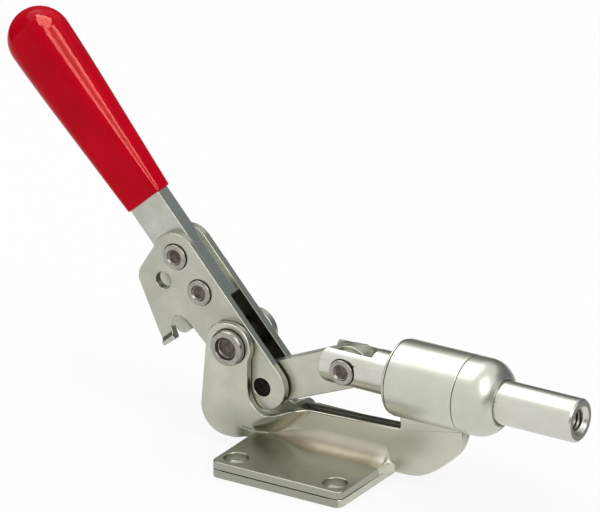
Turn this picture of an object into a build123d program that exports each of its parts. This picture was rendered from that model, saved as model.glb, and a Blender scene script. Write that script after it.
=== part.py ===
from build123d import *
from math import atan2, cos, degrees, hypot, radians, sin, sqrt, tan
import os

# Push-pull toggle clamp, shown half way through its stroke.
# Millimetres.  Origin: underside of the base, centre of its bolt pattern.
# +X is the way the plunger pushes, +Z is up, the plunger runs in the plane Y = 0.

# ---- driving dimensions -------------------------------------------------
axis_h = 39.3            # plunger axis above the underside of the base
sheet_t = 3.1            # base plate and both frame halves
fit_c = 0.05             # radial running clearance of every pin and bush
side_c = 0.3             # side clearance between sheets that pass each other

hole_dx = 41.3           # base bolt pattern along X
hole_dy = 55.6           # base bolt pattern along Y
hole_r = 4.4
hole_edge_x = 6.55       # hole centre to the ends of the base plate
hole_edge_y = 7.3        # hole centre to its sides
foot_corner_r = 3.0
bend_r = 6.0             # inner radius of the flange's bend

pivot_x = -35.0          # main pivot, measured from the bolt pattern centre
lobe_r = 8.7             # frame cheek round the main pivot
cheek_rear = 12.2        # pivot to the rear edge of the cheek, low down
cheek_rear_top = 10.0    # the same beside the pivot
cheek_front = 7.5        # pivot to the front edge of the cheek's neck
cheek_corner_r = 10.5
neck_z = -13.5           # foot of the neck, from the plunger axis
web_top_z = -18.8        # top edge of the web at the barrel, from the plunger axis
web_top_rear_z = -20.6   # the same edge at its rear end
dip_z = -23.4            # lowest point of the edge between neck and web
dip_x = 17.5
web_start_x = 26.0       # where the straight top edge of the web begins
free_edge_lift = 1.0     # free lower edge of the cheek above the flange's underside
pocket_in_r = 28.6       # flat floor of the drawn pocket, about the main pivot
pocket_draft = 50.0      # slope of the pocket's wall, degrees
pocket_bend_r = 2.0      # inner radius of the bends at the top and foot of that wall
pocket_front_x = 1.5     # low down the floor runs straight down, behind this line

barrel_r = 14.15
barrel_x0 = 67.0         # rear face of the barrel, from the main pivot
barrel_len = 27.9
barrel_edge = 1.0        # chamfer at the rear of the barrel
bush_wall = 3.0
bush_len = 10.0
bush_flange_t = 1.1
bush_flange_r = 13.5
nose_len = 13.9
nose_straight = 5.5      # cylindrical part of the nose
nose_face_r = 9.2        # outer edge of the flat ring round the plunger
nose_clear = 0.15
spigot_len = 4.0         # nose spigot inside the barrel
front_lobe_x = 93.5      # front tip of the frame under the nose, from the pivot
front_lobe_z = -14.3
lobe_belly = (-5.4, -12.5)   # two more points of the lobe's edge, from its tip
lobe_heel = (-17.5, -20.9)
step_back = 0.5          # step up to the barrel, ahead of the barrel's rear face

rod_r = 8.0
rod_end_x = 140.1        # front face of the plunger, from the main pivot
rod_chamfer = 0.8
ear_back = 9.8           # clevis ears behind the clevis pin
ear_slot = 8.6           # width between the ears
ear_slot_front = 10.2    # slot length ahead of the clevis pin
ear_corner_r = 5.0
tap_minor_r = 3.97       # drilled for a 3/8-16 thread
tap_depth = 24.0
sink_r = 5.5

crank_r = 18.6           # main pivot to link pin
crank_angle = -51.6      # direction of the link pin from the main pivot
clevis_x = 46.2          # clevis pin ahead of the main pivot
link_t = 4.8
link_rear_r = 7.4
link_front_r = 7.9
link_pin_r = 3.5
link_pin_recess = 0.7    # pin ends lie this deep in the handle plates
open_eye_play = 0.6      # play of the clevis rivet in the link's long front eye
open_eye_back = (-0.8, 0.15)   # centres of the ends of that eye, along and across
open_eye_far = (2.6, -3.15)    # the link, from the clevis rivet's place at rest

handle_angle = 131.6     # handle axis from +X
bar_w = 15.4
bar_t = 6.3
bar_start = 15.0         # lower end of the bar, from the main pivot
bar_end = 133.0
plate_t = 3.2
plate_front = 8.8        # handle plates ahead of the handle axis
plate_top_r = 9.1
plate_rear = 11.7        # handle plates behind the handle axis at the pivot
plate_low_r = 9.0        # lobe round the link pin
rivet_1 = 37.5           # handle rivets along the handle axis
rivet_2 = 22.0
spare_u = 33.2           # spare hole along and behind the handle axis
spare_v = 10.6
spare_r = 3.2
tab_w = 6.0              # stop tab, on the right-hand plate only
tab_v = 20.0             # its inner side, behind the handle axis
tab_u = 13.45            # inner end of its stop face, along the handle axis
tab_slant = 0.36         # the face leans to meet the edge of the cheek flat
tab_out = 2.0            # how far it flares out of the plate
tab_face = 1.9           # height of its flat end
tab_flare_r = 2.6
leg_corner_r = 3.5       # the left plate's leg stays flat and ends rounded here
rear_corner_u = 41.0     # rear corner of the handle plates, before rounding
rear_corner_v = 19.0
rear_corner_r = 6.0
notch_deep = 2.4         # notch beside the tab, above the tab's fold

grip_start = 60.2
grip_len = 79.0
grip_wall = 1.25
grip_w = 24.6            # widest section, near the closed end
grip_t = 18.4
grip_edge_r = 2.2        # edge rounding where the grip starts
grip_end_r = 7.5
grip_gap = 0.5           # end of the bar to the bottom of the grip's pocket

main_pin_r = 5.0
main_head_r = 6.7
main_head_t = 3.0
main_dimple_r = 4.0
pin_bush_wall = 1.6
rivet_r = 2.4            # handle rivets and clevis rivet
rivet_head_r = 4.8
rivet_head_t = 1.0
rivet_dimple_r = 2.7
spacer_r = 6.9
spacer_gap = 0.1         # link to spacer, each side

# ---- worked out from the values above -----------------------------------
foot_len = hole_dx + 2 * hole_edge_x         # base plate and foot flange along X
foot_w = hole_dy + 2 * hole_edge_y           # base plate along Y
foot_top = 2 * sheet_t                       # top face of the flange
plate_out = bar_t / 2 + plate_t              # outer faces of the handle plates
cheek_in = plate_out + side_c
cheek_out = cheek_in + sheet_t
pin_x = pivot_x + crank_r * cos(radians(crank_angle))
pin_z = axis_h + crank_r * sin(radians(crank_angle))
clevis_px = pivot_x + clevis_x
link_dx = clevis_px - pin_x
link_dz = axis_h - pin_z
link_len = hypot(link_dx, link_dz)
link_angle = degrees(atan2(link_dz, link_dx))
barrel_x = pivot_x + barrel_x0
nose_x = barrel_x + barrel_len
tab_fold = tab_u + tab_face + sqrt(2 * tab_flare_r * tab_out - tab_out ** 2)
bore_r = rod_r + bush_wall
bush_r = main_pin_r + fit_c + pin_bush_wall


# ---- helpers ------------------------------------------------------------
def slab(sketch, y0, y1):
    """Side-view sketch (x, z) made into a plate from y0 to y1."""
    return Pos(0, y1, 0) * (Plane.XZ * extrude(sketch, y1 - y0))


def pin(x, z, r, y0, y1):
    return slab(Pos(x, z) * Circle(r), y0, y1)


def mirror_y(solid):
    return mirror(solid, about=Plane.XZ)


def along_x(profile):
    """Turn an (x, r) outline about the plunger axis."""
    face = Plane.XZ * make_face(profile)
    return Pos(0, 0, axis_h) * revolve(face, Axis.X)


def handle_point(u, v):
    a = radians(handle_angle)
    return pivot_x + u * cos(a) - v * sin(a), axis_h + u * sin(a) + v * cos(a)


def rivet(x, z, shank_r, head_r, head_t, dimple_r, half_len):
    """Solid rivet with two tubular heads, each with a flat-bottomed dimple."""
    edge = head_t * 0.3
    top = half_len + head_t
    half = Polyline(
        (0, 0), (shank_r, 0), (shank_r, half_len), (head_r, half_len),
        (head_r, top - edge), (head_r - edge, top), (dimple_r + 0.3, top),
        (dimple_r, top - head_t * 0.75), (0, top - head_t * 0.75), close=True)
    one = revolve(Plane.XZ * make_face(half), Axis.Z)
    both = one + mirror(one, about=Plane.XY)
    return Pos(x, 0, z) * (Rot(90, 0, 0) * both)


# ---- base plate and frame -----------------------------------------------
def bolt_holes():
    hole = Cylinder(hole_r, 4 * foot_top)
    return [Pos(x, y, 0) * hole
            for x in (-hole_dx / 2, hole_dx / 2) for y in (-hole_dy / 2, hole_dy / 2)]


def make_base_plate():
    plate = extrude(RectangleRounded(foot_len, foot_w, foot_corner_r), sheet_t)
    return plate - bolt_holes()


def frame_outline():
    """Side view of one frame half: cheek, web and front lobe."""
    def p(x, z):
        return pivot_x + x, axis_h + z
    bottom = sheet_t - axis_h
    free_z = bottom + free_edge_lift
    foot_back = -foot_len / 2 - pivot_x
    foot_front = foot_len / 2 - pivot_x
    neck_top = -sqrt(lobe_r ** 2 - cheek_front ** 2)
    rear = Line(p(-cheek_rear_top, 0), p(-cheek_rear, free_z + cheek_corner_r))
    corner = JernArc(rear @ 1, (0, -1), cheek_corner_r, 90)
    foot = Polyline(corner @ 1, p(foot_back - 3, free_z), p(foot_back, bottom), p(foot_front, bottom))
    tip = Vector(front_lobe_x, front_lobe_z)
    heel = tip + Vector(*lobe_heel)
    belly = tip + Vector(*lobe_belly)
    front = Spline(foot @ 1, p(heel.X, heel.Y), p(belly.X, belly.Y), p(tip.X, tip.Y),
                   tangents=[(1, 0), (0.15, 1)])
    step_x = barrel_x0 + step_back
    cap = Polyline(front @ 1, p(front_lobe_x, -rod_r), p(step_x, -rod_r),
                   p(step_x, web_top_z), p(web_start_x, web_top_rear_z))
    dip = Spline(cap @ 1, p(dip_x, dip_z), p(cheek_front, neck_z), tangents=[(-1, -0.1), (0, 1)])
    neck = Line(dip @ 1, p(cheek_front, neck_top))
    top = ThreePointArc(neck @ 1, p(lobe_r * cos(radians(45)), lobe_r * sin(radians(45))), p(0, lobe_r))
    close = Spline(top @ 1, rear @ 0, tangents=[(-1, 0), (-0.08, -1)])
    return make_face([rear, corner, foot, front, cap, dip, neck, top, close])


def pocket_side(x0, floor, floor_end, web, wall_end, top_r, foot_r):
    """Outline of one face of the pocket's section: floor, sloping wall, web."""
    wide = 150
    outline = Polyline((x0, 1), (x0, floor), (floor_end, floor), (wall_end, web), (wide, web),
                       (wide, 1), close=True)
    face = make_face(outline)
    face = fillet([v for v in face.vertices() if abs(v.X - floor_end) < 0.01], top_r)
    return fillet([v for v in face.vertices() if abs(v.X - wall_end) < 0.01], foot_r)


def dished_sheet():
    """Web with a pocket drawn outwards: round about the pivot, open downwards."""
    slope = cheek_in / tan(radians(pocket_draft))
    shift = sheet_t / sin(radians(pocket_draft))
    lean = sheet_t / tan(radians(pocket_draft))
    big_r = pocket_bend_r + sheet_t
    skins = []
    for floor, web, out, top_r, foot_r in (
            (-cheek_out, -sheet_t, shift - lean, big_r, pocket_bend_r),
            (-cheek_in, 0, 0, pocket_bend_r, big_r)):
        end = pocket_in_r + out
        dish = revolve(pocket_side(0, floor, end, web, end + slope, top_r, foot_r), Axis.Y)
        end = pocket_front_x + out
        drop = pocket_side(-pocket_in_r, floor, end, web, end + slope, top_r, foot_r)
        skins.append(dish + extrude(drop, -2 * axis_h))
    return Pos(pivot_x, 0, axis_h) * (skins[0] - skins[1])


def flange():
    """Foot flange, bent out of the web in front of the pocket."""
    out = bend_r + sheet_t
    bend_len = foot_len / 2 - pocket_front_x
    bend_x = pocket_front_x + bend_len / 2
    sheet = Pos(0, -foot_w / 4, 1.5 * sheet_t) * Box(foot_len, foot_w / 2, sheet_t)
    inner = Pos(bend_x, -sheet_t - bend_r / 2, foot_top + bend_r / 2) * Box(bend_len, bend_r, bend_r)
    inner -= Pos(0, -out, foot_top + bend_r) * (Rot(0, 90, 0) * Cylinder(bend_r, foot_len + 1))
    corner = Pos(bend_x, -out / 2, sheet_t + out / 2) * Box(bend_len, out, out)
    corner -= Pos(0, -out, sheet_t + out) * (Rot(0, 90, 0) * Cylinder(out, foot_len + 1))
    rounded = extrude(RectangleRounded(foot_len, foot_w, foot_corner_r), foot_top + out)
    return (sheet + inner) & rounded, corner


def make_frame_half():
    """Half on the -Y side, with the frame's foot flange."""
    foot, corner = flange()
    half = make_plain_half() + foot - corner
    return half - bolt_holes()


def make_plain_half():
    """The same stamping with no flange; its mirror image stands on the base plate."""
    half = dished_sheet() & slab(frame_outline(), -foot_w, foot_w)
    guide_len = barrel_len + nose_len
    half -= Pos(barrel_x + guide_len / 2, 0, axis_h) * (Rot(0, 90, 0) * Cylinder(barrel_r, guide_len))
    return half - pin(pivot_x, axis_h, main_pin_r, -foot_w, foot_w)


# ---- plunger guide ------------------------------------------------------
def make_barrel():
    tube = Polyline(
        (barrel_x, bore_r), (barrel_x, barrel_r - barrel_edge), (barrel_x + barrel_edge, barrel_r),
        (nose_x, barrel_r), (nose_x, bore_r), close=True)
    return along_x(tube)


def make_bush(x0, flange_t):
    """Guide bush; flange_t of 0 leaves it plain."""
    r = rod_r + fit_c
    body = [(x0, r), (x0 + bush_len, r), (x0 + bush_len, bore_r), (x0, bore_r)]
    if flange_t:
        body += [(x0, bush_flange_r), (x0 - flange_t, bush_flange_r), (x0 - flange_t, r)]
    return along_x(Polyline(*body, close=True))


def make_nose():
    """Domed cap: spigot in the barrel, cylindrical rim, dome, flat face."""
    tip = nose_x + nose_len
    hole = rod_r + nose_clear
    straight = nose_x + nose_straight
    outline = Polyline((nose_x - spigot_len, hole), (nose_x - spigot_len, bore_r), (nose_x, bore_r),
                       (nose_x, barrel_r), (straight, barrel_r))
    dome = TangentArc((straight, barrel_r), (tip, nose_face_r), tangent=(1, 0))
    face = Polyline((tip, nose_face_r), (tip, hole), (nose_x - spigot_len, hole))
    return along_x([outline, dome, face])


# ---- plunger, link and their pins ---------------------------------------
def make_plunger():
    x0 = clevis_px - ear_back
    x1 = pivot_x + rod_end_x
    sink = sink_r - tap_minor_r
    body = along_x(Polyline((x0, 0), (x0, rod_r), (x1 - rod_chamfer, rod_r), (x1, rod_r - rod_chamfer),
                            (x1, sink_r), (x1 - sink, tap_minor_r), (x1 - tap_depth, tap_minor_r),
                            (x1 - tap_depth - tap_minor_r / 2, 0), close=True))
    side = Pos((x0 + x1) / 2, axis_h) * Rectangle(x1 - x0, 2 * rod_r)
    side = fillet(side.vertices().group_by(Axis.X)[0], ear_corner_r)
    body &= slab(side, -rod_r, rod_r)
    slot_len = ear_back + ear_slot_front
    body -= Pos(x0 + slot_len / 2, 0, axis_h) * Box(slot_len, ear_slot, 3 * rod_r)
    return body - pin(clevis_px, axis_h, rivet_r, -rod_r, rod_r)


def make_link():
    """Link between the handle and the plunger, drawn along its own axis."""
    outline = make_hull((Circle(link_rear_r) + Pos(link_len, 0) * Circle(link_front_r)).edges())
    eye_r = rivet_r + open_eye_play
    eye = make_hull((Pos(*open_eye_back) * Circle(eye_r) + Pos(*open_eye_far) * Circle(eye_r)).edges())
    outline -= Circle(link_pin_r + fit_c)
    outline -= Pos(link_len, 0) * eye
    return slab(Pos(pin_x, pin_z) * (Rot(0, 0, link_angle) * outline), -link_t / 2, link_t / 2)


def make_spacer(side):
    ring = Pos(clevis_px, axis_h) * (Circle(spacer_r) - Circle(rivet_r))
    inner = link_t / 2 + spacer_gap
    ring = slab(ring, -ear_slot / 2, -inner)
    return ring if side < 0 else mirror_y(ring)


# ---- handle: drawn lying along +X from the main pivot, then turned ------
def turned(solid):
    return Pos(pivot_x, 0, axis_h) * (Rot(0, -handle_angle, 0) * solid)


def pin_in_handle():
    a = radians(crank_angle - handle_angle)
    return crank_r * cos(a), crank_r * sin(a)


def plate_outline():
    """Top arc, rear corner, leg as far as its fold, notch, rear edge, low lobe."""
    front = -plate_front
    pin_u = pin_in_handle()[0]
    leg = tab_v + tab_w
    top_v = plate_top_r - plate_front
    arc = CenterArc((rivet_1, top_v), plate_top_r, -90, 120)
    shoulder = Polyline(arc @ 1, (rear_corner_u, rear_corner_v), (tab_fold, leg),
                        (tab_fold, tab_v))
    notch = Spline(shoulder @ 1, (tab_fold + notch_deep, (tab_v + plate_rear) / 2 + 0.6),
                   (tab_u - 1, plate_rear), tangents=[(0.5, -1), (-1, 0)])
    low_v = plate_low_r - plate_front
    back = Line(notch @ 1, (pin_u, low_v + plate_low_r))
    low = CenterArc((pin_u, low_v), plate_low_r, 90, 180)
    edge = Line(low @ 1, (rivet_1, front))
    face = make_face([arc, shoulder, notch, back, low, edge])
    corner = [v for v in face.vertices() if hypot(v.X - rear_corner_u, v.Y - rear_corner_v) < 0.01]
    return fillet(corner, rear_corner_r)


def stop_tab():
    """Right-hand tab: end of the leg, flared outwards, with a leaning stop face."""
    out = -plate_out - tab_out
    flare = TangentArc((tab_fold, -plate_out), (tab_u + tab_face, out), tangent=(-1, 0))
    rest = Polyline(flare @ 1, (tab_u, out), (tab_u, -bar_t / 2 - tab_out),
                    (tab_fold, -bar_t / 2), (tab_fold, -plate_out))
    tab = Pos(0, 0, tab_v) * extrude(make_face([flare, rest]), tab_w)
    lean = Polyline((tab_u, tab_v), (tab_u + tab_slant, tab_v + tab_w), (tab_u, tab_v + tab_w), close=True)
    return tab - slab(make_face(lean), 2 * out, 0)


def flat_leg():
    """Left-hand leg, drawn on the right: its end stays flat, with one rounded corner."""
    length = tab_fold - tab_u
    end = Pos(tab_u + length / 2, tab_v + tab_w / 2) * Rectangle(length, tab_w)
    corner = end.vertices().group_by(Axis.X)[0].sort_by(Axis.Y)[-1]
    return slab(fillet(corner, leg_corner_r), -plate_out, -bar_t / 2)


def make_handle_plate(leg_end):
    """Right-hand plate (-Y side) with the given end on its leg."""
    plate = plate_outline() - Pos(spare_u, spare_v) * Circle(spare_r)
    plate -= [Pos(rivet_1, 0) * Circle(rivet_r), Pos(rivet_2, 0) * Circle(rivet_r)]
    plate -= [Circle(bush_r), Pos(*pin_in_handle()) * Circle(link_pin_r)]
    return turned(slab(plate, -plate_out, -bar_t / 2) + leg_end)


def make_bar():
    length = bar_end - bar_start
    bar = Pos(bar_start + length / 2, 0, 0) * Box(length, bar_t, bar_w)
    bar = chamfer(bar.edges().filter_by(Axis.Y).group_by(Axis.X)[-1], bar_w / 4)
    for u in (rivet_1, rivet_2):
        bar -= Pos(u, 0, 0) * (Rot(90, 0, 0) * Cylinder(rivet_r, bar_t))
    return turned(bar)


def make_grip():
    """Moulded sleeve: flat where it starts, round at the closed end."""
    start_t = bar_t + 2 * grip_wall
    start_w = bar_w + 2 * grip_wall
    sections = Sketch()
    for share, grown in ((0, 0), (0.66, 0.84), (0.86, 1), (1, 0.97)):
        t = start_t + (grip_t - start_t) * grown
        w = start_w + (grip_w - start_w) * grown
        here = Plane.YZ.offset(grip_start + grip_len * share)
        sections += here * RectangleRounded(t, w, grip_edge_r + (t / 2.15 - grip_edge_r) * grown)
    grip = loft(sections, ruled=True)
    grip = fillet(grip.edges().group_by(Axis.X)[-1], grip_end_r)
    hole_len = bar_end + grip_gap - grip_start
    grip -= Pos(grip_start + hole_len / 2, 0, 0) * Box(hole_len, bar_t, bar_w)
    return turned(grip)


def make_pivot_bush():
    ring = Circle(bush_r) - Circle(main_pin_r + fit_c)
    return slab(Pos(pivot_x, axis_h) * ring, -plate_out, plate_out)


def make_link_pin():
    half = plate_out - link_pin_recess
    return pin(pin_x, pin_z, link_pin_r, -half, half)


# ---- all pieces ---------------------------------------------------------
def all_pieces():
    pieces = {
        "base_plate": make_base_plate(),
        "frame_half_right": make_frame_half(),
        "frame_half_left": mirror_y(make_plain_half()),
        "barrel": make_barrel(),
        "rear_bush": make_bush(barrel_x, bush_flange_t),
        "front_bush": make_bush(nose_x - spigot_len - bush_len, 0),
        "nose_cap": make_nose(),
        "main_rivet": rivet(pivot_x, axis_h, main_pin_r, main_head_r, main_head_t,
                            main_dimple_r, cheek_out),
        "handle_plate_right": make_handle_plate(stop_tab()),
        "handle_plate_left": mirror_y(make_handle_plate(flat_leg())),
        "handle_bar": make_bar(),
        "grip": make_grip(),
        "pivot_bush": make_pivot_bush(),
        "link_pin": make_link_pin(),
        "link": make_link(),
        "plunger": make_plunger(),
        "clevis_rivet": rivet(clevis_px, axis_h, rivet_r, rivet_head_r, rivet_head_t,
                              rivet_dimple_r, rod_r),
        "clevis_spacer_right": make_spacer(-1),
        "clevis_spacer_left": make_spacer(1),
    }
    for name, u in (("handle_rivet_upper", rivet_1), ("handle_rivet_lower", rivet_2)):
        x, z = handle_point(u, 0)
        pieces[name] = rivet(x, z, rivet_r, rivet_head_r, rivet_head_t, rivet_dimple_r, plate_out)
    return pieces


os.makedirs("parts", exist_ok=True)
for node, solid in all_pieces().items():
    export_step(solid, f"parts/{node}.step")
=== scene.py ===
import bmesh
import bpy
import numpy as np
from mathutils import Matrix, Vector


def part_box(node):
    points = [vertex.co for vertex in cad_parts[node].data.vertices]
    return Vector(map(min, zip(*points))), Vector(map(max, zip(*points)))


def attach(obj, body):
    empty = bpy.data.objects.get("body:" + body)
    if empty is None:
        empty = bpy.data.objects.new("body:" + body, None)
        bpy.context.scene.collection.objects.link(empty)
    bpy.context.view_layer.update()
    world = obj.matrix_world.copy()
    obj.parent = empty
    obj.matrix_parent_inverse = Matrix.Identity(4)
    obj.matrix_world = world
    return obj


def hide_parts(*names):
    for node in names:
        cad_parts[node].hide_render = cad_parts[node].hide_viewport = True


bl_info = {
    "name": "Push-pull toggle clamp",
    "version": (1, 0, 0),
    "blender": (4, 5, 0),
    "location": "View3D > Sidebar > Clamp",
    "description": "Dresses the packed toggle clamp: plated steel, rivets, thread and moulded grip",
    "category": "Object",
}

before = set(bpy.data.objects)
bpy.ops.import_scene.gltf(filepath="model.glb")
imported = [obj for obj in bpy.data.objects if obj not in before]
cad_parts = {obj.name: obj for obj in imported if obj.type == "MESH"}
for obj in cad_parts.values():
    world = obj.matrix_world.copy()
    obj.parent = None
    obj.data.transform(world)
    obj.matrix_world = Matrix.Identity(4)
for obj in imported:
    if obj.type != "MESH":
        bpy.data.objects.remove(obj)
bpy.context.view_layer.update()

MM = 0.001


# ---- measures read from the frame, in metres unless divided by MM --------
def centre_of(node):
    low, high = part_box(node)
    return (low + high) / 2


def size_of(node):
    low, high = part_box(node)
    return high - low


PIVOT = centre_of("main_rivet")
PIVOT_X, PIVOT_Z = PIVOT.x / MM, PIVOT.z / MM
AXIS_Z = centre_of("barrel").z
BARREL_R = size_of("barrel").z / 2
BARREL_X0, BARREL_X1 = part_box("barrel")[0].x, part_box("barrel")[1].x
NOSE_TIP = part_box("nose_cap")[1].x
ROD_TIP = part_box("plunger")[1].x
HANDLE_ANGLE = np.radians(131.6)    # of the handle at rest, from +X towards +Z
SHEET_T = size_of("base_plate").z / MM
FOOT_TOP = 2 * SHEET_T              # the flange lies on the base plate
FOOT_X, FOOT_Y = size_of("base_plate").x / 2 / MM, size_of("base_plate").y / 2 / MM
BAR_T = size_of("handle_bar").y / MM
POCKET_FRONT = 1.5                  # X where the flange's full bend begins, in front of the drawn pocket
HOLE_R = 3.99                       # threaded hole of the plunger, just inside the metal
BORE_R, SEAT_R = 8.05, 11.0         # bore of the guide bushes and their seat in the barrel
ORIGIN = (0, 0, 0)


# ---- meshes from arrays -------------------------------------------------
def grid_quads(rows, columns, wrap_rows, wrap_columns):
    """Quads of a rows x columns grid of points; wrapping joins the last row or column to the first."""
    i = np.arange(rows if wrap_rows else rows - 1)
    j = np.arange(columns if wrap_columns else columns - 1)
    i, j = np.meshgrid(i, j, indexing="ij")
    i1, j1 = (i + 1) % rows, (j + 1) % columns
    corners = [i * columns + j, i1 * columns + j, i1 * columns + j1, i * columns + j1]
    return np.stack(corners, -1).reshape(-1, 4)


def mesh_object(name, points, quads):
    """New object at the origin from an array of points in metres and an array of quads."""
    mesh = bpy.data.meshes.new(name)
    mesh.from_pydata(points.reshape(-1, 3).tolist(), [], quads.tolist())
    piece = bpy.data.objects.new(name, mesh)
    bpy.context.scene.collection.objects.link(piece)
    return piece


def close_up(piece, sharp_angle=32.0):
    """Merges seams and poles, turns the faces outwards and shades smooth up to sharp_angle."""
    shell = bmesh.new()
    shell.from_mesh(piece.data)
    bmesh.ops.remove_doubles(shell, verts=shell.verts, dist=2e-6)
    bmesh.ops.dissolve_degenerate(shell, edges=shell.edges, dist=1e-6)
    bmesh.ops.recalc_face_normals(shell, faces=shell.faces)
    shell.to_mesh(piece.data)
    shell.free()
    piece.data.shade_smooth()
    piece.data.set_sharp_from_angle(angle=np.radians(sharp_angle))
    return piece


def rounded(corners, radii, steps=6):
    """Closed outline whose corners are replaced by arcs.

    At each corner the arc touches both sides at radius * cot(half the corner's angle) from it, and its
    points are centre + radius * (cos, sin) swept between the two touching points.
    """
    corners = np.asarray(corners, float)
    out = []
    for k, radius in enumerate(radii):
        here, before, after = corners[k], corners[k - 1], corners[(k + 1) % len(corners)]
        a = (before - here) / np.linalg.norm(before - here)
        b = (after - here) / np.linalg.norm(after - here)
        half = np.arccos(np.clip(a @ b, -1, 1)) / 2
        if radius <= 0 or half > 1.55:
            out.append(here[None])
            continue
        reach = radius / np.tan(half)
        middle = here + (a + b) / np.linalg.norm(a + b) * radius / np.sin(half)
        p, q = here + a * reach - middle, here + b * reach - middle
        turn = np.arctan2(p[0] * q[1] - p[1] * q[0], p @ q)
        t = np.linspace(0, turn, steps + 1)[:, None]
        side = np.array([-p[1], p[0]])
        out.append(middle + p * np.cos(t) + side * np.sin(t))
    return np.concatenate(out)


def turned(name, outline, centre, along, segments=128, closed=True):
    """Surface of revolution.

    outline is (distance along the axis, radius) in millimetres; each point is carried round the axis as
    centre + along * distance + radius * (cos t * side + sin t * up).
    """
    along = np.asarray(along, float)
    side = np.array([0.0, 0.0, 1.0])
    up = np.cross(along, side)
    t = np.linspace(0, 2 * np.pi, segments, endpoint=False)
    ring = np.cos(t)[:, None] * side + np.sin(t)[:, None] * up
    points = outline[:, 0, None, None] * along + outline[:, 1, None, None] * ring
    quads = grid_quads(len(outline), segments, closed, True)
    return close_up(mesh_object(name, np.asarray(centre) + points * MM, quads))


def dressed_copy(node, width, segments=2, sharp_angle=28.0, plain=None):
    """Copy of a CAD solid with its edges rounded to width millimetres, as tumbling leaves them.

    plain, where given, says from the middle of an edge in millimetres that this one stays sharp.
    """
    piece = bpy.data.objects.new(node + "_dressed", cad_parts[node].data.copy())
    bpy.context.scene.collection.objects.link(piece)
    shell = bmesh.new()
    shell.from_mesh(piece.data)
    bmesh.ops.remove_doubles(shell, verts=shell.verts, dist=2e-6)
    bmesh.ops.dissolve_limit(shell, angle_limit=np.radians(0.4), verts=shell.verts, edges=shell.edges)
    if plain:
        weight = shell.edges.layers.float.new("bevel_weight_edge")
        for edge in shell.edges:
            middle = (edge.verts[0].co + edge.verts[1].co) / 2 / MM
            edge[weight] = edge.calc_face_angle(0.0) > np.radians(35) and not plain(middle)
    shell.to_mesh(piece.data)
    shell.free()
    piece.data.shade_smooth()
    piece.data.set_sharp_from_angle(angle=np.radians(sharp_angle))
    bevel = piece.modifiers.new("rounded_edges", "BEVEL")
    bevel.width = width * MM
    bevel.segments = segments
    bevel.limit_method = "WEIGHT" if plain else "ANGLE"
    bevel.angle_limit = np.radians(35)
    bevel.use_clamp_overlap = False
    bevel.harden_normals = True
    bevel.miter_outer = "MITER_ARC"
    return piece


def finish_with(piece, *materials):
    """Gives the piece these materials and no others."""
    piece.data.materials.clear()
    for material in materials:
        piece.data.materials.append(material)


def fit_to(piece, body, slot, *nodes):
    """Lets the piece ride on its body and hides the CAD solids that it stands for; slot is not used."""
    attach(piece, body)
    if nodes:
        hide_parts(*nodes)


# ---- materials ----------------------------------------------------------
def linear(colour):
    """Linear colour from sRGB hex such as '#B9BBAE'; one from the panel is linear already."""
    if not isinstance(colour, str):
        return (*colour, 1.0)
    value = np.array([int(colour[k:k + 2], 16) for k in (1, 3, 5)]) / 255
    lin = np.where(value <= 0.04045, value / 12.92, ((value + 0.055) / 1.055) ** 2.4)
    return (*lin.tolist(), 1.0)


def add(tree, kind, links=(), stops=(), **settings):
    """Adds one node.

    links are (socket, source socket), stops are the (place, colour) of a colour ramp's two stops, and
    settings are properties or sockets by name.
    """
    node = tree.nodes.new(kind)
    for key, value in settings.items():
        if hasattr(node, key):
            setattr(node, key, value)
        else:
            node.inputs[key.replace("_", " ").title() if key.islower() else key].default_value = value
    for socket, source in links:
        tree.links.new(node.inputs[socket], source)
    for k, (position, colour) in enumerate(stops):
        stop = node.color_ramp.elements[k]
        stop.position, stop.color = position, linear(colour)
    return node


def new_material(name):
    """Material with an empty tree, and that tree."""
    material = bpy.data.materials.new(name)
    material.use_nodes = True
    material.node_tree.nodes.clear()
    return material, material.node_tree


def zone(tree, place, limits, turn, centre):
    """1 inside a region and 0 outside it.

    limits are (axis, outside mm, inside mm) in a frame at centre, turned about Y, and their ramps are
    multiplied.
    """
    local = add(tree, "ShaderNodeMapping", [("Vector", place.outputs["Object"])], vector_type="TEXTURE",
                Location=centre, Rotation=(0, turn, 0))
    parts = add(tree, "ShaderNodeSeparateXYZ", [("Vector", local.outputs["Vector"])])
    inside = None
    for axis, start, end in limits:
        ramp = add(tree, "ShaderNodeMapRange", [("Value", parts.outputs[axis])],
                   from_min=start * MM, from_max=end * MM)
        share = ramp.outputs["Result"]
        if inside:
            share = add(tree, "ShaderNodeMath", [(0, inside), (1, share)], operation="MULTIPLY").outputs[0]
        inside = share
    return inside


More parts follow.
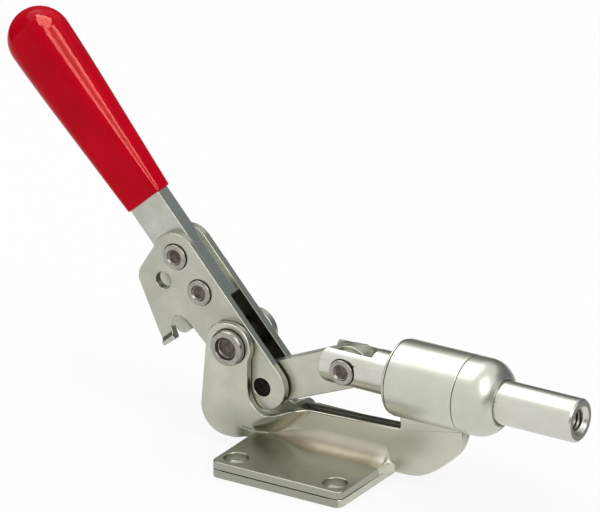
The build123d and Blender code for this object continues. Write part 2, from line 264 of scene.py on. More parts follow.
def plated_steel(name, light, dark, roughness, patch_mm=9.0, grain_mm=0.35, bump=0.02, stretch=(1, 1, 1),
                 turn=0.0, cloudy=0.05, zones=()):
    """Zinc plate over steel: a soft, slightly warm metal, cloudy in large patches and finely grained.

    Cold rolled sheet keeps a faint grain under the plate; stretch and turn lay it along the piece. Each
    zone is (colour, limits, turn, centre): there the plate takes that colour: painted light and shade in
    most zones, and the darker tone of the sheared edge in one.
    zone is (colour, limits, turn, centre): there the plate is tinted by handling, drawing or shearing.
    The real grain is finer than a tenth of a millimetre and is drawn coarse enough to show.
    """
    material, tree = new_material(name)
    place = add(tree, "ShaderNodeTexCoord")
    laid = add(tree, "ShaderNodeMapping", [("Vector", place.outputs["Object"])],
               Rotation=(0, turn, 0), Scale=stretch)
    cloud = add(tree, "ShaderNodeTexNoise", [("Vector", place.outputs["Object"])],
                Scale=1 / (patch_mm * MM), Detail=3.0, Roughness=0.55)
    grain = add(tree, "ShaderNodeTexNoise", [("Vector", laid.outputs["Vector"])],
                Scale=1 / (grain_mm * MM), Detail=2.0, Roughness=0.6)
    both = add(tree, "ShaderNodeMix", [("A", cloud.outputs["Fac"]), ("B", grain.outputs["Fac"])],
               data_type="FLOAT", Factor=0.35)
    tone = add(tree, "ShaderNodeValToRGB", [("Fac", both.outputs["Result"])], ((0.36, dark), (0.64, light)))
    rough = add(tree, "ShaderNodeMapRange", [("Value", both.outputs["Result"])],
                from_min=0.3, from_max=0.7, to_min=roughness + cloudy, to_max=roughness - cloudy)
    relief = add(tree, "ShaderNodeBump", [("Height", grain.outputs["Fac"])],
                 Strength=bump, Distance=grain_mm * MM)
    colour = tone.outputs["Color"]
    for tint, limits, around, centre in zones:
        inside = zone(tree, place, limits, around, centre)
        blend = add(tree, "ShaderNodeMix", [("Factor", inside), (6, colour)], data_type="RGBA")
        blend.inputs[7].default_value = linear(tint)
        colour = blend.outputs[2]
    shader = add(tree, "ShaderNodeBsdfPrincipled",
                 [("Base Color", colour), ("Roughness", rough.outputs["Result"]),
                  ("Normal", relief.outputs["Normal"])], Metallic=1.0)
    add(tree, "ShaderNodeOutputMaterial", [("Surface", shader.outputs["BSDF"])])
    return material


def moulded_vinyl(name, colour, deep, roughness):
    """Dip moulded vinyl: deep red, glossy and faintly wavy, with fine scuffs that only dull the gloss.

    Its gloss is weak and tinted, because plasticiser and pigment lie right under the skin.
    """
    material, tree = new_material(name)
    place = add(tree, "ShaderNodeTexCoord")
    wave = add(tree, "ShaderNodeTexNoise", [("Vector", place.outputs["Object"])],
               Scale=1 / (14 * MM), Detail=1.5)
    tone = add(tree, "ShaderNodeValToRGB", [("Fac", wave.outputs["Fac"])], ((0.3, deep), (0.7, colour)))
    laid = add(tree, "ShaderNodeMapping", [("Vector", place.outputs["Object"])],
               Rotation=(0, HANDLE_ANGLE, 0), Scale=(0.12, 1, 1))
    scuff = add(tree, "ShaderNodeTexNoise", [("Vector", laid.outputs["Vector"])],
                Scale=1 / (0.8 * MM), Detail=4.0)
    dull = add(tree, "ShaderNodeMapRange", [("Value", scuff.outputs["Fac"])],
               from_min=0.62, from_max=0.75, to_min=roughness, to_max=roughness + 0.15)
    relief = add(tree, "ShaderNodeBump", [("Height", wave.outputs["Fac"])], Strength=0.005, Distance=0.4 * MM)
    shader = add(tree, "ShaderNodeBsdfPrincipled",
                 [("Base Color", tone.outputs["Color"]), ("Roughness", dull.outputs["Result"]),
                  ("Normal", relief.outputs["Normal"])], IOR=1.5)
    shader.inputs["Specular IOR Level"].default_value = 0.1
    shader.inputs["Specular Tint"].default_value = (1.0, 0.45, 0.36, 1.0)
    add(tree, "ShaderNodeOutputMaterial", [("Surface", shader.outputs["BSDF"])])
    return material


# ---- sizes and colours --------------------------------------------------
def colour_property(name, description, hex_colour):
    return bpy.props.FloatVectorProperty(name=name, description=description, default=linear(hex_colour)[:3],
                                         subtype="COLOR", size=3, min=0, max=1)


def length_property(name, description, millimetres):
    return bpy.props.FloatProperty(name=name, description=description, default=millimetres * MM, min=0,
                                   unit="LENGTH", precision=5)


class ClampSizes(bpy.types.PropertyGroup):
    sheet_edge: length_property("Sheet edge", "Rounding of the stamped sheets' edges", 0.35)
    bar_edge: length_property("Bar edge", "Rounding of the cold drawn bar's edges", 0.3)
    rod_edge: length_property("Rod edge", "Rounding of the plunger's edges", 0.25)
    thread_pitch: length_property("Thread pitch", "Pitch of the plunger's 3/8-16 thread", 1.5875)
    thread_depth: length_property("Thread depth", "How far the thread's crests stand into the hole", 0.5)
    grip_skirt: length_property("Grip skirt", "Rounding of the grip's open end", 0.5)


class ClampColours(bpy.types.PropertyGroup):
    plate_light: colour_property("Plate, light", "Light patches of the zinc plated sheets", "#C6C7BA")
    plate_dark: colour_property("Plate, dark", "Dark patches of the zinc plated sheets", "#B6B7A8")
    grip_red: colour_property("Grip", "Red of the grip", "#C4001C")
    grip_deep: colour_property("Grip, deep", "Deeper red in the grip's faint waves", "#B80019")


# ---- stage --------------------------------------------------------------
AZIMUTH, ELEVATION = np.radians(31.922), np.radians(22.963)
BACK, ASIDE, RAISED = 3.67165, 0.020164, 0.029139   # camera from the main pivot, in its own directions
LENS, SENSOR = 615.2, 36.0
CARD_R = 0.78               # radius of the upright cards, in metres
PAPER = 0.0002              # height of the card that lies on the floor
PAPER_WHITE = 0.86          # share of the floor that is plain white to the eye
RIGHT_LAMP = (0.86, -0.38, 0.88)


def seen(tree):
    """1 where the eye looks, straight, in gloss or through a clear thing, and 0 for light that falls."""
    path = add(tree, "ShaderNodeLightPath")
    eye = add(tree, "ShaderNodeMath", operation="MAXIMUM",
              links=[(0, path.outputs["Is Camera Ray"]), (1, path.outputs["Is Glossy Ray"])])
    through = add(tree, "ShaderNodeMath", [(0, eye.outputs[0]), (1, path.outputs["Is Transmission Ray"])],
                  operation="MAXIMUM")
    return through.outputs[0]


def reflected(card, low, high, foot_colour, top_colour):
    """Card that glows in a colour shaded from foot to top, and shows in gloss alone: a painted reflection."""
    material, tree = new_material(card.name + "_felt")
    place = add(tree, "ShaderNodeTexCoord")
    parts = add(tree, "ShaderNodeSeparateXYZ", [("Vector", place.outputs["Object"])])
    height = add(tree, "ShaderNodeMapRange", [("Value", parts.outputs["Z"])], from_min=low, from_max=high)
    tone = add(tree, "ShaderNodeValToRGB", [("Fac", height.outputs["Result"])],
               ((0, foot_colour), (1, top_colour)))
    card_glow = add(tree, "ShaderNodeEmission", [("Color", tone.outputs["Color"])], Strength=1.0)
    add(tree, "ShaderNodeOutputMaterial", [("Surface", card_glow.outputs[0])])
    finish_with(card, material)
    card.visible_camera = card.visible_shadow = card.visible_diffuse = False


def flat_sheet(name, x, y, height):
    """Rectangle from x[0] to x[1] and y[0] to y[1], all in metres."""
    corners = [[x[0], y[0], height], [x[1], y[0], height], [x[1], y[1], height], [x[0], y[1], height]]
    return mesh_object(name, np.array(corners), np.array([[0, 1, 2, 3]]))


def upright_card(name, span, low, high, foot_colour, top_colour):
    """Glowing card bent round the clamp, a painted reflection seen in gloss alone.

    Its foot follows CARD_R * (cos a, sin a) while a sweeps the span in degrees from +X.
    """
    a = np.radians(np.linspace(*span, 40))
    foot = np.stack([CARD_R * np.cos(a), CARD_R * np.sin(a), np.full(len(a), low)], -1)
    points = np.stack([foot, foot + (0, 0, high - low)])
    card = mesh_object(name, points, grid_quads(2, len(a), False, False))
    reflected(card, low, high, foot_colour, top_colour)


def softbox(name, spot, size, brightness):
    """Rectangular lamp, aimed at the clamp, whose face is brightness times as bright as white paper."""
    data = bpy.data.lights.new(name, "AREA")
    data.shape = "RECTANGLE"
    data.size, data.size_y = size
    data.energy = brightness * np.pi * size[0] * size[1]
    lamp = bpy.data.objects.new(name, data)
    bpy.context.scene.collection.objects.link(lamp)
    lamp.location = spot
    lamp.rotation_mode = "QUATERNION"
    lamp.rotation_quaternion = (Vector((-0.01, 0, 0.06)) - Vector(spot)).to_track_quat("-Z", "Y")
    return lamp


class CLAMP_OT_stage(bpy.types.Operator):
    """Camera, world, floor, reflected cards and lamps"""
    bl_idname = "clamp.stage"
    bl_label = "Stage"

    def execute(self, context):
        scene = context.scene
        scene.view_settings.view_transform = "Standard"
        self.camera(scene)
        self.world(scene)
        self.floor()
        # Glowing cards seen in gloss alone: painted reflections of darker surroundings.
        upright_card("card_rear", (92, 205), 0.0, 0.66, "#1C1C18", "#8C8C84")
        upright_card("card_right", (28, 92), 0.0, 0.60, "#66717A", "#7C858A")
        upright_card("card_end", (-34, 28), 0.0, 0.26, "#4C4F4E", "#6C6F6E")
        # A glowing grey sheet on the floor, seen in gloss alone: a painted reflection.
        lying = flat_sheet("card_floor_right", (0.06, 1.2), (0.03, 1.2), PAPER)
        reflected(lying, 0, 1, "#9A9A94", "#9A9A94")
        softbox("lamp_above", (-0.56, 0.12, 1.0), (1.1, 1.0), 1.6)
        softbox("lamp_right", RIGHT_LAMP, (0.55, 0.95), 3.2)
        return {"FINISHED"}

    def camera(self, scene):
        """Long lens that looks down on the clamp's right side, aimed a little beside the main pivot."""
        a, e = AZIMUTH, ELEVATION
        right = Vector((np.cos(a), np.sin(a), 0))
        up = Vector((-np.sin(a) * np.sin(e), np.cos(a) * np.sin(e), np.cos(e)))
        back = Vector((np.sin(a) * np.cos(e), -np.cos(a) * np.cos(e), np.sin(e)))
        data = bpy.data.cameras.new("camera")
        data.sensor_width = SENSOR
        data.lens = LENS
        data.clip_start, data.clip_end = 0.1, 50
        camera = bpy.data.objects.new("camera", data)
        scene.collection.objects.link(camera)
        spot = PIVOT + back * BACK + right * ASIDE + up * RAISED
        camera.matrix_world = Matrix.Translation(spot) @ Matrix((right, up, back)).transposed().to_4x4()
        scene.camera = camera

    def world(self, scene):
        """White to the eye and to gloss, softer as a light."""
        world = bpy.data.worlds.new("studio")
        world.use_nodes = True
        tree = world.node_tree
        tree.nodes.clear()
        light = add(tree, "ShaderNodeBackground", Color=linear("#FFFFFF"), Strength=0.55)
        white = add(tree, "ShaderNodeBackground", Color=linear("#FFFFFF"), Strength=1.0)
        mix = add(tree, "ShaderNodeMixShader",
                  [("Fac", seen(tree)), (1, light.outputs[0]), (2, white.outputs[0])])
        add(tree, "ShaderNodeOutputWorld", [("Surface", mix.outputs[0])])
        scene.world = world

    def floor(self):
        """White paper: mostly plain white to the eye, and it keeps a soft shadow."""
        floor = flat_sheet("floor", (-4, 4), (-4, 4), 0)
        material, tree = new_material("white_paper")
        share = add(tree, "ShaderNodeMath", [(0, seen(tree))], operation="MULTIPLY")
        share.inputs[1].default_value = PAPER_WHITE
        paper = add(tree, "ShaderNodeBsdfDiffuse", Color=linear("#F4F4F2"))
        glow = add(tree, "ShaderNodeEmission", Color=linear("#FFFFFF"), Strength=1.0)
        mix = add(tree, "ShaderNodeMixShader",
                  [("Fac", share.outputs[0]), (1, paper.outputs[0]), (2, glow.outputs[0])])
        add(tree, "ShaderNodeOutputMaterial", [("Surface", mix.outputs[0])])
        finish_with(floor, material)


# ---- pieces of the clamp ------------------------------------------------
class CLAMP_OT_grip(bpy.types.Operator):
    """Moulded red grip"""
    bl_idname = "clamp.grip"
    bl_label = "Grip"

    def execute(self, context):
        colours = context.scene.clamp_colours
        grip = self.body(context.scene.clamp_sizes.grip_skirt / MM)
        finish_with(grip, moulded_vinyl("dip_moulded_vinyl", colours.grip_red, colours.grip_deep, 0.09))
        fit_to(grip, "handle", "grip_vinyl", "grip")
        self.strips(grip)
        return {"FINISHED"}

    def body(self, edge):
        """Rounded rectangles carried up the handle, closed by a dome.

        Half sizes and corner radius grow from the flat open end to the round closed one, as a stepped
        line smoothed by its running mean. Over the dome the section is scaled by sqrt(1 - (d / R)^2), so
        the end is half an ellipsoid.
        """
        start, length, dome = 60.2, 81.4, 12.2      # start is measured from the main pivot
        thin, wide, corner = 4.4, 8.95, 2.2         # half thickness, half width and corner at the open end
        thicker, wider, rounder = 4.8, 3.35, 6.35   # what the closed end adds to them
        u = np.concatenate([np.linspace(0, 2, 9), np.linspace(3, 66, 64),
                            length - dome + dome * np.sin(np.linspace(0, np.pi / 2, 36))])
        window = 13
        even = np.linspace(-10, 90, 101)
        grown = np.interp(even, (-10, 0, 52.1, 67.9, 80, 90), (-0.161, 0, 0.84, 1.0, 0.98, 0.96))
        smooth = np.convolve(grown, np.ones(window) / window, "valid")
        grown = np.interp(u, even[window // 2:-(window // 2)], smooth)
        shrink = np.sqrt(np.clip(1 - (np.clip(u - (length - dome), 0, dome) / dome) ** 2, 0, 1))
        skirt = edge - np.sqrt(np.clip(edge ** 2 - np.clip(edge - u, 0, edge) ** 2, 0, None))
        half_t, half_w = (thin + thicker * grown) * shrink - skirt, (wide + wider * grown) * shrink - skirt
        radius = ((corner + rounder * grown) * shrink)[:, None]
        t = (np.arange(160) + 0.5) / 160 * 2 * np.pi
        c, s = np.cos(t), np.sin(t)
        y = np.sign(c) * (half_t[:, None] - radius) + radius * c
        v = np.sign(s) * (half_w[:, None] - radius) + radius * s
        u = np.repeat((start + u)[:, None], len(t), 1)
        y, v, u = [np.concatenate([w[:1] * m, w]) for w, m in ((y, 0), (v, 0), (u, 1))]
        x = PIVOT_X + u * np.cos(HANDLE_ANGLE) - v * np.sin(HANDLE_ANGLE)
        z = PIVOT_Z + u * np.sin(HANDLE_ANGLE) + v * np.cos(HANDLE_ANGLE)
        points = np.stack([x, y, z], -1) * MM
        return close_up(mesh_object("grip_vinyl", points, grid_quads(len(u), len(t), False, True)), 40)

    def strips(self, grip):
        """Two strong lamps for the grip's gloss alone, which give it its long highlights."""
        lit = bpy.data.collections.new("lit_by_strips")
        lit.objects.link(grip)
        brightness = 34
        for strip in (softbox("strip_side", RIGHT_LAMP, (1.4, 1.0), brightness),
                      softbox("strip_crown", (0.05, -0.12, 1.30), (1.1, 1.1), brightness)):
            strip.visible_diffuse = False
            strip.light_linking.receiver_collection = lit


class CLAMP_OT_guide(bpy.types.Operator):
    """Barrel, guide bushes and domed nose cap"""
    bl_idname = "clamp.guide"
    bl_label = "Plunger guide"

    def execute(self, context):
        # Turned mild steel, zinc plated: fine marks round the axis draw the highlight out along it.
        steel = plated_steel("turned_zinc_plate", "#CDCEC3", "#C5C6BA", 0.33, 7.0, 0.3, 0.012,
                             (6, 0.6, 0.6), 0.0, 0.015)
        # Painted shadow in the joints at the barrel's ends: a nearly black band with no gloss.
        shade = plated_steel("painted_joint_shadow", "#1A1916", "#0E0D0B", 0.6, 2.0, 0.2)
        # Hardened and ground bush: a little brighter than the plate and more even.
        bush_steel = plated_steel("hardened_bush_steel", "#C6C7BC", "#B4B5A9", 0.26, 5.0, 0.3)
        x0, x1, r = BARREL_X0 / MM, BARREL_X1 / MM, BARREL_R / MM
        self.lathe("barrel", "zinc_plated_steel", steel, rounded(
            [(x0 + 0.1, SEAT_R), (x0 + 0.1, r), (x1 - 0.1, r), (x1 - 0.1, SEAT_R)], [0, 0.45, 0.3, 0]))
        self.lathe("nose_cap", "zinc_plated_steel", steel, self.nose_outline(x1, r))
        # Bands of painted shadow in the barrel's two joints.
        for name, x in (("shadow_band_rear", x0), ("shadow_band_nose", x1)):
            band = np.array([(x - 0.1, 11.5), (x - 0.1, r - 0.2), (x + 0.1, r - 0.2), (x + 0.1, 11.5)])
            joint = turned(name, band, (0, 0, AXIS_Z), (1, 0, 0))
            finish_with(joint, shade)
            fit_to(joint, "base", "zinc_plated_steel")
        flange_r, proud = 13.8, 1.1
        self.lathe("rear_bush", "bush_steel", bush_steel, rounded(
            [(x0 - proud, BORE_R), (x0 - proud, flange_r), (x0 - 0.1, flange_r), (x0 - 0.1, SEAT_R),
             (x0 + 10, SEAT_R), (x0 + 10, BORE_R)], [0.4, 0.45, 0.2, 0, 0, 0]))
        finish_with(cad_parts["front_bush"], bush_steel)
        return {"FINISHED"}

    def lathe(self, node, slot, material, outline):
        """Turned piece on the plunger's axis in place of a CAD solid."""
        piece = turned(node + "_turned", outline, (0, 0, AXIS_Z), (1, 0, 0))
        finish_with(piece, material)
        fit_to(piece, "base", slot, node)

    def nose_outline(self, start, r):
        """Outline of the cap: a short straight part, a dome that falls to the rim, and the bore.

        The dome is an arc of radius (run^2 + fall^2) / (2 fall), which leaves the straight part tangentially
        and has fallen by the given height when it reaches the rim.
        """
        tip, bore = NOSE_TIP / MM, BORE_R + 0.1
        straight, rim_length, rim_r = 5.5, 1.1, 10.6
        run, fall = tip - rim_length - start - straight, r - rim_r
        bend = (run ** 2 + fall ** 2) / (2 * fall)
        sweep = np.linspace(0, np.arcsin(run / bend), 24)
        dome = np.stack([start + straight + bend * np.sin(sweep), r - bend + bend * np.cos(sweep)], -1)
        neck = rounded([(start - 4, bore), (start - 4, SEAT_R), (start + 0.1, SEAT_R), (start + 0.1, r),
                        (start + straight, r)], [0, 0, 0, 0.3, 0])
        face = rounded([dome[-2], dome[-1], (tip, 9.0), (tip, bore), (tip - 3, bore)], [0, 0.7, 0.3, 0.25, 0])
        return np.concatenate([neck, dome[:-2], face])


class CLAMP_OT_plunger(bpy.types.Operator):
    """Plunger with its thread, and the link"""
    bl_idname = "clamp.plunger"
    bl_label = "Plunger and link"

    def execute(self, context):
        sizes = context.scene.clamp_sizes
        rod = dressed_copy("plunger", sizes.rod_edge / MM)
        # Ground rod, zinc plated: the brightest and smoothest steel here, with faint marks round the axis.
        finish_with(rod, plated_steel("ground_zinc_plated_rod", "#D2D2C9", "#C9C9BE", 0.29, 8.0, 0.25, 0.01,
                                      (8, 0.5, 0.5), 0.0, 0.015))
        fit_to(rod, "plunger", "rod_steel", "plunger")
        self.thread(sizes.thread_pitch / MM, sizes.thread_depth / MM)
        link = dressed_copy("link", sizes.sheet_edge / MM)
        # Stamped link, zinc plated: the sheets' finish, a little rougher from tumbling.
        finish_with(link, plated_steel("zinc_plated_link", "#C6C6BA", "#B8B8AA", 0.34))
        fit_to(link, "link", "zinc_plated_steel", "link")
        # Turned spacer rings, plated: plain, and painted slightly darker as painted shade inside the clevis.
        spacer = plated_steel("spacer_steel_painted_shade", "#C0C1B4", "#AEB0A2", 0.3)
        for node in ("clevis_spacer_right", "clevis_spacer_left"):
            finish_with(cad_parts[node], spacer)
        return {"FINISHED"}

    def thread(self, pitch, depth):
        """Threaded wall of the plunger's hole.

        Its radius is the hole's, less a triangle wave of (distance / pitch + turn) that stands in by the
        thread's depth; a plain cylinder just inside the metal closes it.
        """
        first, last = ROD_TIP / MM - 1.6, ROD_TIP / MM - 21.6
        x = np.linspace(first, last, 260)
        t = np.linspace(0, 2 * np.pi, 72, endpoint=False)
        wave = np.abs(((x[:, None] / pitch + t / (2 * np.pi)) % 1) - 0.5) * 2
        inner = HOLE_R - depth * np.clip(wave * 1.25, 0, 1)
        inner[0] = inner[-1] = HOLE_R
        r = np.concatenate([inner, np.full((2, len(t)), HOLE_R + 0.21)])
        x = np.concatenate([x, [last, first]])[:, None] * np.ones(len(t))
        points = np.stack([x, r * np.cos(t), AXIS_Z / MM + r * np.sin(t)], -1) * MM
        sleeve = close_up(mesh_object("plunger_thread", points, grid_quads(len(x), len(t), True, True)), 50)
        # Tapped thread, hardly plated, with oil left in it: darker, and painted darker still as shade,
        # because little light gets into the hole.
        finish_with(sleeve, plated_steel("tapped_steel_and_shade", "#8C8A7C", "#6A685C", 0.38))
        fit_to(sleeve, "plunger", "rod_steel")


class CLAMP_OT_sheets(bpy.types.Operator):
    """Base plate, frame halves and handle plates"""
    bl_idname = "clamp.sheets"
    bl_label = "Stamped sheets"

    def execute(self, context):
        edge = context.scene.clamp_sizes.sheet_edge / MM
        foot, right, left, plates = self.finishes(context.scene.clamp_colours)
        for node, body, finish in (("base_plate", "base", foot),
                                   ("frame_half_right", "base", right),
                                   ("frame_half_left", "base", left),
                                   ("handle_plate_right", "handle", plates),
                                   ("handle_plate_left", "handle", plates)):
            bent = node == "frame_half_right"
            piece = dressed_copy(node, edge * 1.6 if bent else edge, plain=self.bend_end if bent else None)
            finish_with(piece, finish)
            fit_to(piece, body, "zinc_plated_steel", node)
        self.bend()
        self.seam()
        return {"FINISHED"}

    def finishes(self, colours):
        """Stamped sheet, zinc plated: light and even, with the mark of shearing and with painted light and
        shade.

        foot_edge is the darker sheared edge; web and lobe are painted lighter on the drawn right half, as
        painted light; heel is painted shade at the end under the pivot, top a painted dark reflection on the
        upper edge by the barrel, and gap painted shade in the slot between the handle plates.
        """
        light, dark = colours.plate_light, colours.plate_dark
        barrel_x = BARREL_X0 / MM
        foot_edge = ("#9B9B90", [("Y", -FOOT_Y + 1.0, -FOOT_Y + 0.5)], 0.0, ORIGIN)
        # Painted light: the web of the drawn right half is painted lighter.
        web = ("#E3DFCF", [("Y", -SHEET_T - 5.2, -SHEET_T - 1.5), ("Z", FOOT_TOP + 1, FOOT_TOP + 4)], 0.0,
               ORIGIN)
        # Painted light, a little weaker, where the sheet lies under the barrel.
        lobe_painted_light = ("#C9C7BA", [("X", barrel_x - 2, barrel_x + 12)], 0.0, ORIGIN)
        # Painted shade on the dished face under the pivot.
        heel_shade = ("#A0A194", [("Z", PIVOT_Z - 19, PIVOT_Z - 29), ("X", PIVOT_X - 11, PIVOT_X + 3),
                            ("Y", -SHEET_T - 2.5, -SHEET_T - 5)], 0.0, ORIGIN)
        # Painted dark reflection on the sheets' upper edges by the barrel.
        top = ("#5C5C52", [("Y", -SHEET_T + 0.2, -SHEET_T + 0.6), ("Y", SHEET_T - 0.2, SHEET_T - 0.6),
                           ("X", PIVOT_X + 14, PIVOT_X + 26), ("X", barrel_x + 9, barrel_x + 5),
                           ("Z", AXIS_Z / MM - 28, AXIS_Z / MM - 25)], 0.0, ORIGIN)
        # Painted shade in the slot between the handle plates, on their inner faces.
        gap_shade = ("#7C7D6E", [("Y", BAR_T / 2 + 0.5, BAR_T / 2 + 0.2), ("Y", -BAR_T / 2 - 0.5, -BAR_T / 2 - 0.2),
                           ("Z", 6, 3), ("X", 22, 18)], -HANDLE_ANGLE, PIVOT)
        return (plated_steel("zinc_plated_base", light, dark, 0.31, zones=(foot_edge,)),
                plated_steel("zinc_plated_frame_painted_light_and_shade", light, dark, 0.31, zones=(foot_edge, web, lobe_painted_light, heel_shade, top)),
                plated_steel("zinc_plated_sheet_painted_dark_edge", light, dark, 0.31, zones=(top,)),
                plated_steel("zinc_plated_handle_plate_painted_slot_shade", "#BEBFB2", "#AEAFA2", 0.31, zones=(gap_shade,)))

    def bend_end(self, spot):
        """True at both ends of the flange's bend, whose arcs meet the web too flatly to be rounded."""
        low = FOOT_TOP - SHEET_T - 0.5 < spot.z < FOOT_TOP + 7.5 and spot.y > -SHEET_T - 7
        return low and (abs(spot.x - FOOT_X) < 0.5 or abs(spot.x - POCKET_FRONT) < 0.5)

    def bend(self):
        """Inner side of the flange's bend.

        A quarter circle of radius R(x) touches the web and the flange at every x, as
        (-t - R + R cos a, top + R - R sin a); R grows smoothly from the drawn pocket to the open end, past
        which it runs out into the web as 1 - sqrt(1 - s^2), s being the share of the tail that is left.
        """
        tail, tight, opened = 3.4, 1.2, 5.15    # run-out, first radius and what the open end adds to it
        grow_from, grow_run = -24, 26           # X where the radius starts to grow, and over what length
        beyond = FOOT_X + tail * np.linspace(0, 1, 17)[1:] ** 1.6
        x = np.concatenate([np.linspace(-FOOT_X + 1.0, FOOT_X, 56), beyond])
        grow = np.clip((x - grow_from) / grow_run, 0, 1)
        left = 1 - np.clip((x - FOOT_X) / tail, 0, 0.995)
        grown = tight + opened * grow * grow * (3 - 2 * grow)
        radius = (grown * (1 - np.sqrt(1 - left ** 2)))[:, None]
        low = np.where(x > FOOT_X + 0.01, SHEET_T + 0.3, FOOT_TOP - 0.25)[:, None]
        a = np.linspace(0, np.pi / 2, 17)
        y = -SHEET_T - 0.02 - radius + radius * np.cos(a)
        z = FOOT_TOP + radius - radius * np.sin(a)
        inner = np.full((len(x), 1), -SHEET_T + 0.25)
        y = np.concatenate([inner, y, y[:, -1:], inner], 1)
        z = np.concatenate([z[:, :1], z, low, low], 1)
        x = np.repeat(x[:, None], y.shape[1], 1)
        points = np.stack([x, y, z], -1) * MM
        ends = [np.repeat(points[k].mean(0)[None], points.shape[1], 0)[None] for k in (0, -1)]
        points = np.concatenate([ends[0], points, ends[1]])
        quads = grid_quads(len(points), points.shape[1], False, True)
        piece = close_up(mesh_object("flange_bend", points, quads))
        # Inner side of the bend: duller, and painted darker and warmer as painted shade in the crease;
        # painted light again where it meets the web and near its end at +X.
        finish_with(piece, plated_steel("bend_painted_shade_and_light", "#A9A18F", "#A09885", 0.45, zones=(
            ("#DDD8C8", [("Z", FOOT_TOP + 2.2, FOOT_TOP + 6.3)], 0.0, ORIGIN),
            ("#D2CEBF", [("X", FOOT_X - 5, FOOT_X)], 0.0, ORIGIN))))
        fit_to(piece, "base", "zinc_plated_steel")

    def seam(self):
        """Painted shadow in the joint between the flange and the base plate: a thin black band just inside
        their edges.

        The sheets' outline is drawn in by two insets, at two heights, and the four rings are joined.
        """
        outline = rounded([(-FOOT_X, -FOOT_Y), (FOOT_X, -FOOT_Y), (FOOT_X, -SHEET_T), (-FOOT_X, -SHEET_T)],
                          [4.9, 4.9, 0, 0], 8)
        middle = np.array([0, (-FOOT_Y - SHEET_T) / 2])
        half = np.array([FOOT_X, (FOOT_Y - SHEET_T) / 2])
        deep, shallow, low, high = 1.6, 0.1, SHEET_T - 0.3, SHEET_T + 0.3
        rings = [np.column_stack([middle + (outline - middle) * (1 - inset / half), np.full(len(outline), z)])
                 for inset, z in ((deep, low), (shallow, low), (shallow, high), (deep, high))]
        quads = grid_quads(len(rings), len(outline), True, True)
        piece = close_up(mesh_object("foot_seam_painted_shadow", np.stack(rings) * MM, quads))
        # Painted shadow between two sheets: black, with no gloss.
        finish_with(piece, plated_steel("painted_seam_shadow", "#12110F", "#0A0908", 0.7, 2.0, 0.2))
        fit_to(piece, "base", "zinc_plated_steel")


class CLAMP_OT_handle(bpy.types.Operator):
    """Handle bar"""
    bl_idname = "clamp.handle"
    bl_label = "Handle bar"

    def execute(self, context):
        bar = dressed_copy("handle_bar", context.scene.clamp_sizes.bar_edge / MM)
        # Cold drawn flat bar, plated: smooth, with faint drawing lines along it.
        finish_with(bar, plated_steel("cold_drawn_bar", "#C4C5BA", "#B0B2A8", 0.28, 8.0, 0.4, 0.02,
                                      (0.06, 1, 1), HANDLE_ANGLE))
        fit_to(bar, "handle", "bar_steel", "handle_bar")
        return {"FINISHED"}


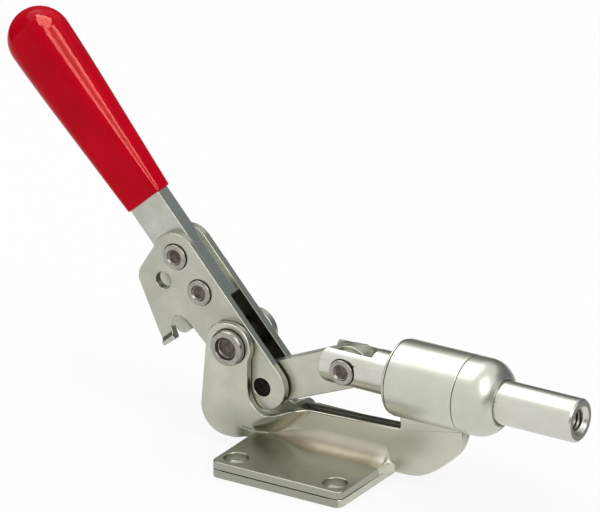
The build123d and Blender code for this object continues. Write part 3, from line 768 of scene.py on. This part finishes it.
class CLAMP_OT_rivets(bpy.types.Operator):
    """Rivets, link pin and pivot bush"""
    bl_idname = "clamp.rivets"
    bl_label = "Rivets and pins"

    def execute(self, context):
        # Rolled rivet head: burnished by the spinning tool, so its rim is bright and smooth.
        bright = plated_steel("rolled_rivet_rim", "#ADA9A1", "#94908A", 0.24, 3.0, 0.3)
        # Dimple of a rivet head: darker, brownish and rough.
        dull = plated_steel("rivet_dimple", "#746A63", "#4E453F", 0.5, 1.5, 0.25, 0.1)
        # Painted shadow round a rivet head: a nearly black ring.
        dark = plated_steel("rivet_painted_shadow", "#24221F", "#161513", 0.6, 2.0, 0.2)
        for node, body, shank, half, head, thick, dimple in (
                ("main_rivet", "base", 5.0, 9.75, 6.7, 3.0, 4.0),
                ("clevis_rivet", "plunger", 2.4, 8.0, 4.8, 1.0, 2.7),
                ("handle_rivet_upper", "handle", 2.4, 6.35, 4.8, 1.0, 2.7),
                ("handle_rivet_lower", "handle", 2.4, 6.35, 4.8, 1.0, 2.7)):
            rivet = self.rivet(node, shank, half, head, thick, dimple)
            finish_with(rivet, bright, dull)
            self.mark_dimples(rivet, centre_of(node), dimple - 0.1, half + thick * 0.6)
            fit_to(rivet, body, "rivet_steel", node)
            # A ring of painted shadow round each head, on both sides.
            ring = np.array([(half - 0.3, head - 0.6), (half + 0.1, head - 0.6), (half + 0.1, head + 0.25),
                             (half - 0.3, head + 0.25)])
            for side, facing in (("right", -1), ("left", 1)):
                joint = turned(f"{node}_joint_{side}", ring, centre_of(node), (0, facing, 0), 96)
                finish_with(joint, dark)
                fit_to(joint, body, "rivet_steel")
        # Pin and bush painted nearly black, as painted shade in the pin's recess and in the slot between the
        # handle plates, with a soft sheen.
        pin = plated_steel("pin_painted_shade", "#2A2826", "#161514", 0.4, 2.0, 0.25)
        finish_with(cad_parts["link_pin"], pin)
        bush = plated_steel("pivot_bush_painted_shade", "#34322E", "#201F1C", 0.45)
        finish_with(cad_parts["pivot_bush"], bush)
        return {"FINISHED"}

    def rivet(self, node, shank, half, head, thick, dimple):
        """Rivet turned about its own axis: half is half the gripped width, then come two dimpled heads."""
        top, floor = half + thick, half + thick * 0.25
        corners = [(floor, 0), (floor, dimple), (top, dimple + 0.35), (top, head), (half, head),
                   (half, shank)]
        one = rounded(corners, [0, thick * 0.25, thick * 0.18, thick * 0.42, 0.15, 0])
        outline = np.concatenate([one, one[::-1] * (-1, 1)])
        return turned(node + "_turned", outline, centre_of(node), (0, -1, 0), 96)

    def mark_dimples(self, rivet, middle, reach, top):
        """Gives the second material to the faces within reach of the axis and below the heads' tops."""
        faces = np.zeros(len(rivet.data.polygons) * 3)
        rivet.data.polygons.foreach_get("center", faces)
        faces = faces.reshape(-1, 3) - np.array(middle)
        away = np.hypot(faces[:, 0], faces[:, 2]) / MM
        inside = (away < reach) & (np.abs(faces[:, 1]) / MM < top)
        rivet.data.polygons.foreach_set("material_index", inside.astype(np.int32))


class CLAMP_PT_panel(bpy.types.Panel):
    """Lists the clamp's sizes, colours and steps"""
    bl_idname = "CLAMP_PT_panel"
    bl_label = "Toggle clamp"
    bl_space_type = "VIEW_3D"
    bl_region_type = "UI"
    bl_category = "Clamp"

    def draw(self, context):
        for group in (context.scene.clamp_sizes, context.scene.clamp_colours):
            for name in group.__annotations__:
                self.layout.prop(group, name)
        for step in STEPS:
            self.layout.operator(step.bl_idname)


STEPS = (CLAMP_OT_stage, CLAMP_OT_sheets, CLAMP_OT_handle, CLAMP_OT_grip, CLAMP_OT_guide, CLAMP_OT_plunger,
         CLAMP_OT_rivets)
CLASSES = (ClampSizes, ClampColours, *STEPS, CLAMP_PT_panel)


def register():
    for cls in CLASSES:
        bpy.utils.register_class(cls)
    bpy.types.Scene.clamp_sizes = bpy.props.PointerProperty(type=ClampSizes)
    bpy.types.Scene.clamp_colours = bpy.props.PointerProperty(type=ClampColours)


def unregister():
    del bpy.types.Scene.clamp_sizes
    del bpy.types.Scene.clamp_colours
    for cls in reversed(CLASSES):
        bpy.utils.unregister_class(cls)


def main():
    register()
    bpy.ops.clamp.stage()
    bpy.ops.clamp.sheets()
    bpy.ops.clamp.handle()
    bpy.ops.clamp.grip()
    bpy.ops.clamp.guide()
    bpy.ops.clamp.plunger()
    bpy.ops.clamp.rivets()


if __name__ == "__main__":
    main()
